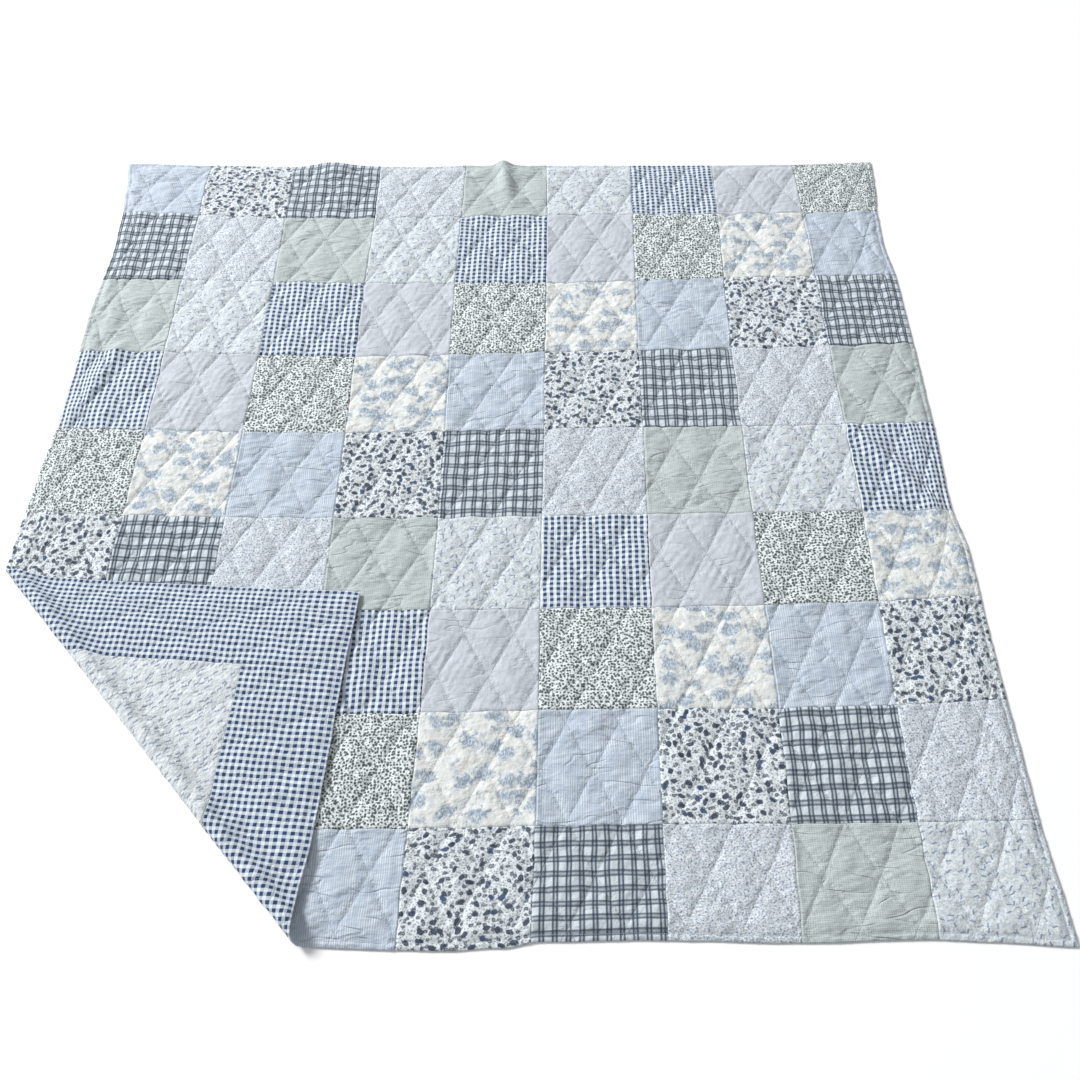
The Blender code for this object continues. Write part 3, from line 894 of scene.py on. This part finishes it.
def backing_cloth(left, right, near, far, hems):
    """A flat rectangle of the backing, cut closer where it turns over the fold."""
    corners = [np.array(spot) for spot in ((left, near), (right, near), (right, far), (left, far))]
    cloth = lattice_grid(corners, BACK_THREADS)
    for side, start, end in zip(("near", "right", "far", "left"), corners, corners[1:] + corners[:1]):
        trim_side(cloth, start, end, HEM_CUTS if side in hems else SEAM_CUTS)
    steps = math.ceil(FOLD_LENGTH / ROLL_STEP)
    for step in range(steps + 1):
        cut(cloth, FOLD_LEFT + FOLD_OUT * (FOLD_LENGTH * step / steps), FOLD_OUT)

    def shares_of(x, y, z):
        rising, falling = phases(x, y)
        diamond = (np.floor(rising) + 100) * 1000 + (np.floor(falling) + 100) * 2 + z
        return np.where(((z > 0) & (z < 1)) | rises(x, y), -1, diamond)

    thicken(cloth, shares_of)
    return cloth


def backing_seams(x, y):
    inner = HALF - BORDER
    upright = np.abs(np.abs(x) - inner)
    level = np.where(np.abs(x) < inner + 0.001, np.abs(np.abs(y) - inner), 1.0)
    return np.minimum(upright, level)


def backing_heights(x, y, layer, number=0):
    """The backing's inner face, and its outer face with its grooves and gathers."""
    inner = -PLY_GAP / 2 - free_back(x, y)
    past = beyond_fold(*drawn(x, y))
    bare = smooth(past / 0.02 + 0.5)
    groove = 0.0006 * np.exp(-(line_distance(x, y) / 0.004) ** 2)
    groove += 0.0006 * np.exp(-(backing_seams(x, y) / 0.002) ** 2)
    small = 0.0008 * gathers(x, y, 31)
    small += 0.0006 * ripples(x, y, 34, 0.018, 0.034) * np.exp(-backing_seams(x, y) / 0.02)
    soft = 0.0010 * ripples(x, y, 33, 0.03, 0.09)
    swell = bare * (small + soft - groove)
    outer = inner - np.maximum(hem_profile(x, y, BACKING + 0.0 * x), 0.0005) - bare * 0.0004 - swell
    return np.where(layer > 0.5, inner, np.minimum(outer, inner - 0.0004))


def laid_backing(name, box, outer, node, material):
    cloth = backing_cloth(*box, outer)
    piece = as_cloth(name, cloth, backing_heights, lambda x, y, number: (x, y), material)
    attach(piece, "root")
    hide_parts(node)
    return piece


def slanting_leaves(flat):
    """Off-white with slanting blue strokes and a few navy ones."""
    light, _ = wavy_dash(flat, 0.0085, 9.1, 0.0120, 0.0030, 0.9, PRINT_LEAN)
    dark, pick = wavy_dash(flat, 0.0180, 10.3, 0.0130, 0.0042, 0.7, PRINT_LEAN)
    cloud = flat.grain(0.0110, 2.0, 0.5).above(0.52, 0.18)
    ground = (cloud * 0.40).colour((0.720, 0.748, 0.757, 1), (0.524, 0.580, 0.617, 1))
    strokes = (light * 0.55).colour(ground, (0.355, 0.411, 0.486, 1))
    return (dark * 0.75).colour(strokes, (0.131, 0.187, 0.299, 1))


inner = HALF - BORDER - PLY_GAP / 2
rim = HALF - BORDER + PLY_GAP / 2
leaf_cotton = cotton("slanting_leaf_cotton", slanting_leaves, 0.0012, 0.014)
laid_backing("backing_centre", (-inner, inner, -inner, inner), (), "backing_panel",
             leaf_cotton)

# The backing's four border strips: navy and white gingham. The two side strips run the full
# length, and the near and far ones are sewn between them. Their outer edges are the hem.
border_gingham = cotton("border_gingham", lambda flat: gingham(flat, 0.0136, 0.0134, 0.50, 0.44))
for side, box, outer, size in (
    ("left", (-HALF, -rim, -HALF, HALF), ("left", "near", "far"), (0.2, 2.2)),
    ("right", (rim, HALF, -HALF, HALF), ("right", "near", "far"), (0.2, 2.2)),
    ("near", (-inner, inner, -HALF, -rim), ("near",), (1.8, 0.2)),
    ("far", (-inner, inner, rim, HALF), ("far",), (1.8, 0.2)),
):
    laid_backing("border_strip_" + side, box, outer, "backing_border_" + side,
                 border_gingham)

# The topstitching: one line of pale blue machine stitches, 12 mm inside the hem, that closes
# the quilt all the way round. Each stitch shows on the top and again on the back.
STITCH_PITCH = 0.0042
STITCH_LENGTH = 0.0032
STITCH_THICK = 0.0005


def stitch_line():
    """Places of the stitches along the hem of the flat quilt, and where each one points."""
    reach = HALF - TOPSTITCH
    count = round(2 * reach / STITCH_PITCH)
    along = (np.arange(count) + 0.5) / count * 2 * reach - reach
    edge = np.full(count, reach)
    x = np.concatenate((along, edge, -along, -edge))
    y = np.concatenate((edge, -along, -edge, along))
    ahead_x = np.repeat((1.0, 0.0, -1.0, 0.0), count)
    ahead_y = np.repeat((0.0, -1.0, 0.0, 1.0), count)
    return x, y, ahead_x, ahead_y


def hem_stitches():
    """Every stitch is one small bead of thread. They are made a hundred at a time."""
    x, y, ahead_x, ahead_y = stitch_line()
    half = STITCH_LENGTH / 2
    column, row = ((x + HALF) / PITCH).astype(int), ((HALF - y) / PITCH).astype(int)
    top = top_face(x, y, row * 9 + column, 0.0) + STITCH_THICK * 0.4
    back = backing_heights(x, y, 0.0) - STITCH_THICK * 0.4
    ends = []
    for height in (top, back):
        first = placed(x - ahead_x * half, y - ahead_y * half, height)
        last = placed(x + ahead_x * half, y + ahead_y * half, height)
        ends += list(zip(first, last))
    seam = bmesh.new()
    for batch in range(0, len(ends), 100):
        thread = bmesh.new()
        for start, end in ends[batch:batch + 100]:
            start, end = Vector(start), Vector(end)
            turn = (end - start).to_track_quat("X", "Z").to_matrix().to_4x4()
            size = ((end - start).length * 0.55, STITCH_THICK, STITCH_THICK * 0.8, 1)
            place = Matrix.Translation((start + end) / 2) @ turn @ Matrix.Diagonal(size)
            bmesh.ops.create_icosphere(thread, subdivisions=1, radius=1, matrix=place)
        mesh = bpy.data.meshes.new("stitches")
        thread.to_mesh(mesh)
        thread.free()
        seam.from_mesh(mesh)
        bpy.data.meshes.remove(mesh)
    mesh = bpy.data.meshes.new("hem_topstitching")
    seam.to_mesh(mesh)
    seam.free()
    mesh.shade_smooth()
    piece = bpy.data.objects.new("hem_topstitching", mesh)
    bpy.context.scene.collection.objects.link(piece)
    return piece


def twisted_thread():
    material = bpy.data.materials.new("sewing_thread")
    material.use_nodes = True
    tree = material.node_tree
    shader = tree.nodes["Principled BSDF"]
    start = Dye(tree, None)
    spot = start.node("TexCoord", {}, {}, 3)
    ply = (spot.part(0) + spot.part(1) + spot.part(2)) * (6.283 / 0.0007)
    ply_height_and_shade = ply.sum("SINE") * 0.5 + 0.5
    # Painted shade and highlight: the thread is darker in the hollows between its plies and lighter on
    # their crests, following the same height as its bump.
    dyed = ply_height_and_shade.colour((0.46, 0.54, 0.66, 1), (0.66, 0.73, 0.82, 1))
    bump = start.node("Bump", {}, {"Strength": 0.6, "Distance": 0.0001, "Height": ply_height_and_shade})
    tree.links.new(dyed.socket, shader.inputs["Base Color"])
    tree.links.new(bump.socket, shader.inputs["Normal"])
    shader.inputs["Roughness"].default_value = 0.6
    return material


stitches = hem_stitches()
stitches.data.materials.append(twisted_thread())
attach(stitches, "root")
